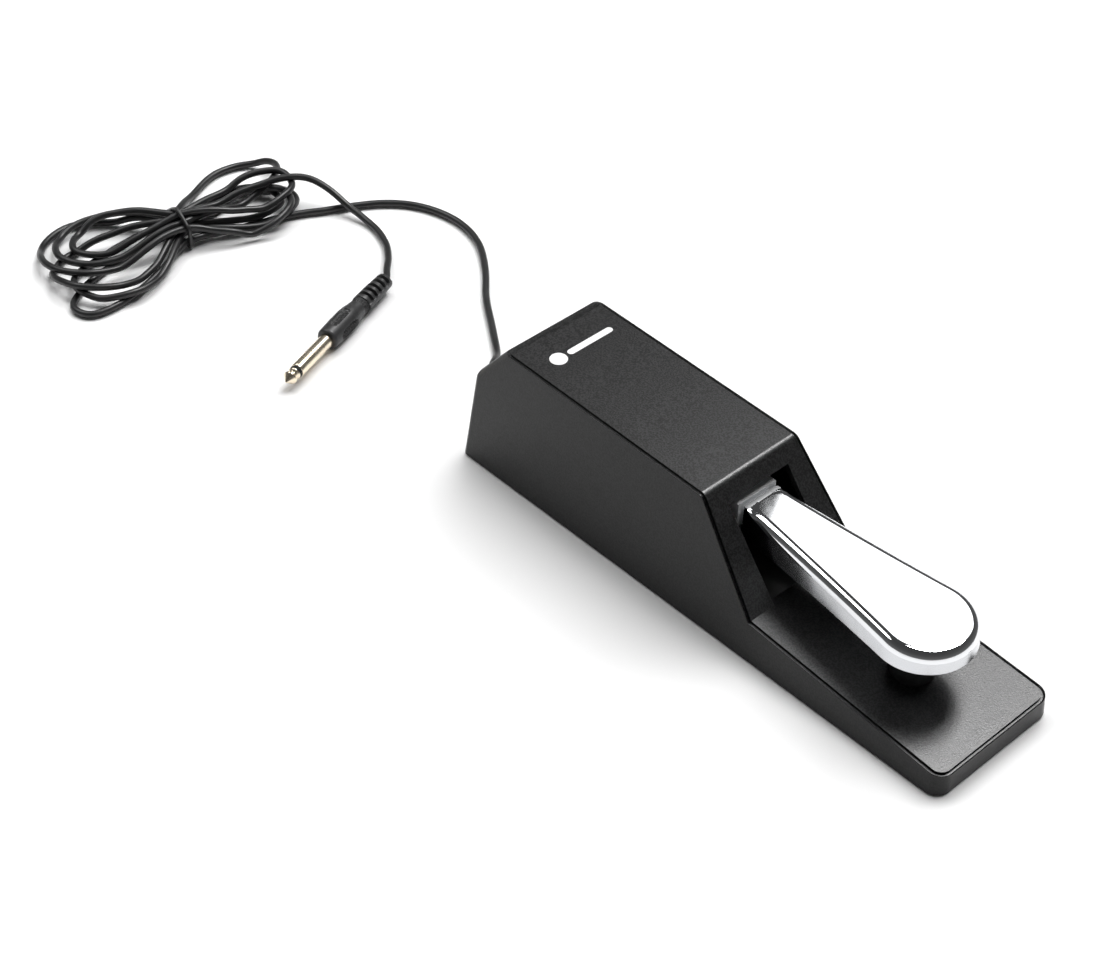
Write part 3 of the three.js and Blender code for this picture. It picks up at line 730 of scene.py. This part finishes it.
def cavity():
    """Room inside the walls, open below."""
    slope = (FOOT[0] - RIDGE[0]) / (RIDGE[1] - FOOT[1])
    back = WALL * math.hypot(1, slope)
    profile = [
        (-HALF + WALL + 0.4, -3), (HALF - WALL, -3), (HALF - WALL, TOE_Z - WALL),
        (FOOT[0] - back + 2.1, FOOT[1] - WALL + 0.3), (RIDGE[0] - back + 2.0, RIDGE[1] - WALL),
        (REAR_TOP[0] + 1.4, REAR_TOP[1] - WALL), (REAR_UPPER[0] + WALL + 0.3, REAR_UPPER[1] - 1),
    ]
    return prism(profile, lambda z: half_width(z) - WALL)


def window():
    low, high = WINDOW_BOTTOM - 0.3, WINDOW_TOP
    profile = [(slanted_x(low) - 12, low), (slanted_x(low) + 12, low), (slanted_x(high) + 12, high),
               (slanted_x(high) - 12, high)]
    return prism(profile, lambda z: WINDOW_HALF)


def shadow_groove(bm):
    """A slope into a dark step, and a slightly raised panel over the top, the slanted face and the deck."""
    rear = REAR_TOP[0]
    bmesh.ops.bisect_plane(
        bm, geom=[*bm.verts, *bm.edges, *bm.faces], plane_co=(rear + 4, 0, 0), plane_no=(1, 0, 0))
    panel = []
    for face in bm.faces:
        centre = face.calc_center_median()
        if face.normal.z > 0.5 and centre.z > 8 and centre.x > rear:
            panel.append(face)
    for width, depth in ((0.7, -0.75), (0.85, 0.0), (0.05, 1.05)):
        bmesh.ops.inset_region(
            bm, faces=panel, thickness=width, depth=depth, use_even_offset=True, use_boundary=True)
        bm.normal_update()
    slope = (RIDGE[1] - REAR_TOP[1]) / (RIDGE[0] - REAR_TOP[0])
    for vert in bm.verts:
        away = vert.co.x - rear
        if 0.1 < away < 2.5 and vert.co.z > 55:
            vert.co.z = REAR_TOP[1] + away * slope


def make_housing():
    bm = prism(outer_profile(), half_width)
    behind = REAR_TOP[0] + 0.1

    def toe_corner(a, b):
        return min(a.x, b.x) > HALF - 0.1 and abs(a.z - b.z) > 1

    def ridge_edge(a, b):
        return max(abs(a.x - RIDGE[0]), abs(b.x - RIDGE[0])) < 0.1 and abs(a.y - b.y) > 5

    def rear_edge(a, b):
        upright = abs(a.z - b.z) > 1 and max(a.x, b.x) < behind
        across = abs(a.y - b.y) > 5 and abs(a.z - REAR_UPPER[1]) < 0.1 and abs(b.z - REAR_UPPER[1]) < 0.1
        return upright or across

    round_edges(bm, toe_corner, 6, 8)
    round_edges(bm, rear_edge, 2.6, 4)
    round_edges(bm, ridge_edge, 1.6, 5)
    bmesh.ops.recalc_face_normals(bm, faces=bm.faces)
    shadow_groove(bm)
    exit_hole = turned([(-HALF - 5, 4.2), (-HALF + 10, 4.2)], 40)
    bmesh.ops.translate(exit_hole, vec=(0, 0, EXIT_Z), verts=exit_hole.verts)
    bmesh.ops.recalc_face_normals(exit_hole, faces=exit_hole.faces)
    shell = carve(bm, [cavity(), window(), exit_hole])
    bmesh.ops.dissolve_degenerate(shell, dist=0.001, edges=shell.edges)
    for face in shell.faces:
        centre = face.calc_center_median()
        face.material_index = 0 if face.normal.z > 0.5 and centre.x > REAR_TOP[0] - 1 else 1
    finishes = ["grained_plastic", "satin_plastic"]
    piece = piece_from("housing_shell", shell, finishes, "base", 30)
    modifier = piece.modifiers.new("edge_rounding", "BEVEL")
    modifier.width = 0.35 * MM
    modifier.segments = 3
    modifier.limit_method = "ANGLE"
    modifier.angle_limit = math.radians(28)
    modifier.use_clamp_overlap = True
    modifier.harden_normals = False
    weighted_normals(piece)
    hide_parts("upper_housing")
    return piece


make_housing()


# ---- lever --------------------------------------------------------------------------------------
def lever_outline(inset, rear=None):
    """Plan of the lever: rounded rear corners, flaring sides with a slight waist, round tip."""
    rear = LEVER["rear"] + inset if rear is None else rear
    radius = LEVER["radius"] - inset
    start = math.radians(97)
    join_x = LEVER["tip"] + radius * math.cos(start)
    join_y = radius * math.sin(start)
    rear_half = LEVER["rear_half"] - inset
    corner = min(1.6 + inset * 0.5, rear_half * 0.9)
    flank = []
    for i in range(3, 60):
        t = i / 60
        half = rear_half + (join_y - rear_half) * t - 2.4 * t * (1 - t)
        flank.append((rear + (join_x - rear) * t, half))
    rounding = []
    for i in range(7):
        turn = math.radians(180 - 15 * i)
        rounding.append(
            (rear + corner + corner * math.cos(turn), rear_half - corner + corner * math.sin(turn)))
    upper = rounding + flank
    tip = []
    for i in range(73):
        turn = start - 2 * start * i / 72
        tip.append((LEVER["tip"] + radius * math.cos(turn), radius * math.sin(turn)))
    return upper + tip + [(x, -y) for x, y in upper[::-1]]


def make_lever():
    """Cast shell: skirt, rounded shoulder, flat top, hollow below."""
    wall, draft, bevel_out, bevel_down = 1.8, 0.4, 3.3, 3.6
    rim = LEVER["bottom"] - 1.3
    rings = []

    def ring(inset, height):
        return [(x, y, height(x)) for x, y in lever_outline(inset)]

    def rear_share(x):
        return 0.4 + 0.6 * smoothstep(LEVER["rear"] + 3.5, LEVER["rear"] + 9, x)

    rings.append(ring(wall + 2.2, lambda x: lever_top(x) - 2.0))
    rings.append(ring(wall, lambda x: lever_top(x) - 5.2))
    rings.append(ring(wall, lambda x: rim + 0.3))
    rings.append(ring(wall - 0.3, lambda x: rim))
    rings.append(ring(0.35, lambda x: rim))
    rings.append(ring(0.1, lambda x: rim + 0.1))
    rings.append(ring(0.0, lambda x: rim + 0.4))
    rings.append(ring(draft, lambda x: lever_top(x) - (bevel_down + 0.3) * rear_share(x)))
    for i in range(13):
        turn = math.radians(90 * i / 12)
        inset = draft + bevel_out * (1 - math.cos(turn))
        drop = bevel_down * (1 - math.sin(turn))
        rings.append(ring(inset, lambda x, drop=drop: lever_top(x) - drop * rear_share(x)))
    for inset in (4.0, 4.8, 6.0):
        rings.append(ring(inset, lever_top))
    bm = skin(rings)
    for face in bm.faces:
        centre = face.calc_center_median()
        # The lever's rear facet takes the dim satin metal: painted shade.
        if centre.x < LEVER["rear"] + 3.1 and centre.z > 44 and abs(centre.y) < 8.5:
            face.material_index = 1
        # Faces below the shoulder take the darker chrome: painted shade on the skirt.
        elif centre.z < lever_top(centre.x) - (bevel_down + 0.3) * rear_share(centre.x):
            face.material_index = 2
    finishes = ["polished_chrome", "satin_cast_painted_shade", "rough_chrome_painted_shade"]
    piece = piece_from("lever_casting", bm, finishes, "lever", 40)
    weighted_normals(piece)
    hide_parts("lever")
    low = LEVER["bottom"] + 0.05
    boss = turned([(low, 6.6), (low + 0.4, 7.0), (lever_top(BUMPER_X) - 2.4, 7.0)], 48)
    bmesh.ops.rotate(boss, matrix=Matrix.Rotation(math.radians(-90), 3, "Y"), verts=boss.verts)
    bmesh.ops.translate(boss, vec=(BUMPER_X, 0, 0), verts=boss.verts)
    piece_from("lever_stop_boss", boss, ["polished_chrome"], "lever", 40)


make_lever()


# ---- return spring ------------------------------------------------------------------------------
def make_spring():
    """Coiled steel spring under the arm."""
    x, radius, wire, turns, bottom, top = SPRING
    per_turn = 24
    rings = []
    for i in range(turns * per_turn + 1):
        turn = 2 * math.pi * i / per_turn
        height = bottom + (top - bottom) * i / (turns * per_turn)
        ring = []
        for k in range(10):
            around = 2 * math.pi * k / 10
            reach = radius + wire * math.cos(around)
            lift = wire * math.sin(around)
            ring.append((x + reach * math.cos(turn), reach * math.sin(turn), height + lift))
        rings.append(ring)
    piece = piece_from("return_spring_coiled", skin(rings), ["zinc_plate"], "base", 60)
    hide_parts("return_spring")
    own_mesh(piece)


make_spring()


# ---- bumper -------------------------------------------------------------------------------------
def make_bumper():
    """Rubber stop that stands on the sloping deck, with a rounded upper edge."""
    rings = []
    stations = [(BUMPER_R - 0.4, None, 0.0), (BUMPER_R, None, 0.5)]
    for angle in range(0, 91, 15):
        turn = math.radians(angle)
        inward = BUMPER_EDGE * (1 - math.cos(turn))
        down = BUMPER_EDGE * (1 - math.sin(turn))
        stations.append((BUMPER_R - inward, BUMPER_TOP - down, 0))
    for radius, height, lift in stations:
        ring = []
        for i in range(64):
            turn = 2 * math.pi * i / 64
            x = BUMPER_X + radius * math.cos(turn)
            z = deck_z(x) + 0.28 + lift if height is None else height
            ring.append((x, radius * math.sin(turn), z))
        rings.append(ring)
    piece = piece_from("bumper_moulded", skin(rings), ["black_rubber"], "base", 40)
    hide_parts("bumper")


make_bumper()


# ---- generic printed mark -----------------------------------------------------------------------
def make_mark():
    """A plain disc and bar of white ink on the top, in place of any printed name."""
    bm = bmesh.new()
    sheet = 0.06
    slope = (RIDGE[1] - REAR_TOP[1]) / (RIDGE[0] - REAR_TOP[0])

    def top(x):
        return REAR_TOP[1] + (x - REAR_TOP[0]) * slope + 0.26

    def patch(points):
        low = [bm.verts.new((x, y, top(x))) for x, y in points]
        high = [bm.verts.new((x, y, top(x) + sheet)) for x, y in points]
        bm.faces.new(high)
        bm.faces.new(low[::-1])
        for i in range(len(points)):
            j = (i + 1) % len(points)
            bm.faces.new((low[i], low[j], high[j], high[i]))

    def arc(y, radius, first, last, step):
        turns = [math.radians(a) for a in range(first, last, step)]
        return [(x_middle + radius * math.cos(turn), y + radius * math.sin(turn)) for turn in turns]

    x_middle = -88.0
    patch(arc(-11.5, 3.6, 0, 360, 9))
    bar_half, bar_start, bar_stop = 1.5, -5.0, 15.0
    patch(arc(bar_start, bar_half, -180, 1, 15) + arc(bar_stop, bar_half, 0, 181, 15))
    piece_from("printed_mark", bm, ["white_ink"], "base", 40)


make_mark()


# ---- stage and light ----------------------------------------------------------------------------
def make_floor():
    bm = bmesh.new()
    bmesh.ops.create_grid(bm, x_segments=2, y_segments=2, size=9)
    floor = object_of(bm, "floor")
    floor.location.z = -0.0002
    shader = Shader("pale_floor", (0.9, 0.9, 0.9), 0.75, specular=0.2)
    shader.bump(shader.noise(30, 2), 0.0001, 0.05)
    floor.data.materials.append(shader.material)


def softbox(name, direction, spread, distance, brightness, kind="both"):
    """A rectangle of light seen from the pedal at an azimuth and elevation, spread over some degrees.

    The kind says whether it counts in reflections ("gloss"), in shading ("shading") or in both.
    """
    azimuth, elevation = (math.radians(v) for v in direction)
    level = math.cos(elevation)
    towards = Vector((math.cos(azimuth) * level, math.sin(azimuth) * level, math.sin(elevation)))
    place = distance * towards
    width = 2 * distance * math.cos(elevation) * math.tan(math.radians(spread[0] / 2))
    height = 2 * distance * math.tan(math.radians(spread[1] / 2))
    light = area_light(name, place, (0, 0, 0.03), (width, height), brightness * math.pi * width * height)
    light.visible_diffuse = kind != "gloss"
    light.visible_glossy = kind != "shading"


def area_light(name, place, target, size, power):
    data = bpy.data.lights.new(name, "AREA")
    data.shape = "RECTANGLE"
    data.size, data.size_y = size
    data.energy = power
    light = bpy.data.objects.new(name, data)
    light.location = place
    aim = Vector(target) - Vector(place)
    light.rotation_euler = aim.to_track_quat("-Z", "Y").to_euler()
    bpy.context.collection.objects.link(light)
    return light


def make_world():
    """A dim studio: darkest overhead, growing brighter towards the horizon and brightest below it."""
    world = bpy.data.worlds.new("studio")
    world.use_nodes = True
    nodes, links = world.node_tree.nodes, world.node_tree.links
    place = nodes.new("ShaderNodeTexCoord").outputs["Generated"]
    split = nodes.new("ShaderNodeSeparateXYZ")
    links.new(place, split.inputs["Vector"])
    ramp = nodes.new("ShaderNodeValToRGB")
    stops = [(0.0, 0.5), (0.02, 0.3), (0.12, 0.12), (0.6, 0.07), (1.0, 0.05)]
    while len(ramp.color_ramp.elements) < len(stops):
        ramp.color_ramp.elements.new(0.5)
    for element, (position, value) in zip(ramp.color_ramp.elements, stops):
        element.position = position
        element.color = (value, value, value, 1)
    links.new(split.outputs["Z"], ramp.inputs["Fac"])
    background = nodes["Background"]
    links.new(ramp.outputs["Color"], background.inputs["Color"])
    background.inputs["Strength"].default_value = 1.0
    bpy.context.scene.world = world


make_floor()
make_world()
softbox("key_softbox", (100, 64), (36, 22), 2.4, 29, "gloss")
softbox("key_shading", (100, 64), (85, 42), 2.4, 6.8, "shading")
softbox("key_scrim", (108.5, 48.5), (34.7, 9), 2.4, 1.8)
softbox("fill_softbox", (190, 55), (60, 22), 2.4, 4.5)
bpy.context.scene.view_settings.view_transform = "Standard"
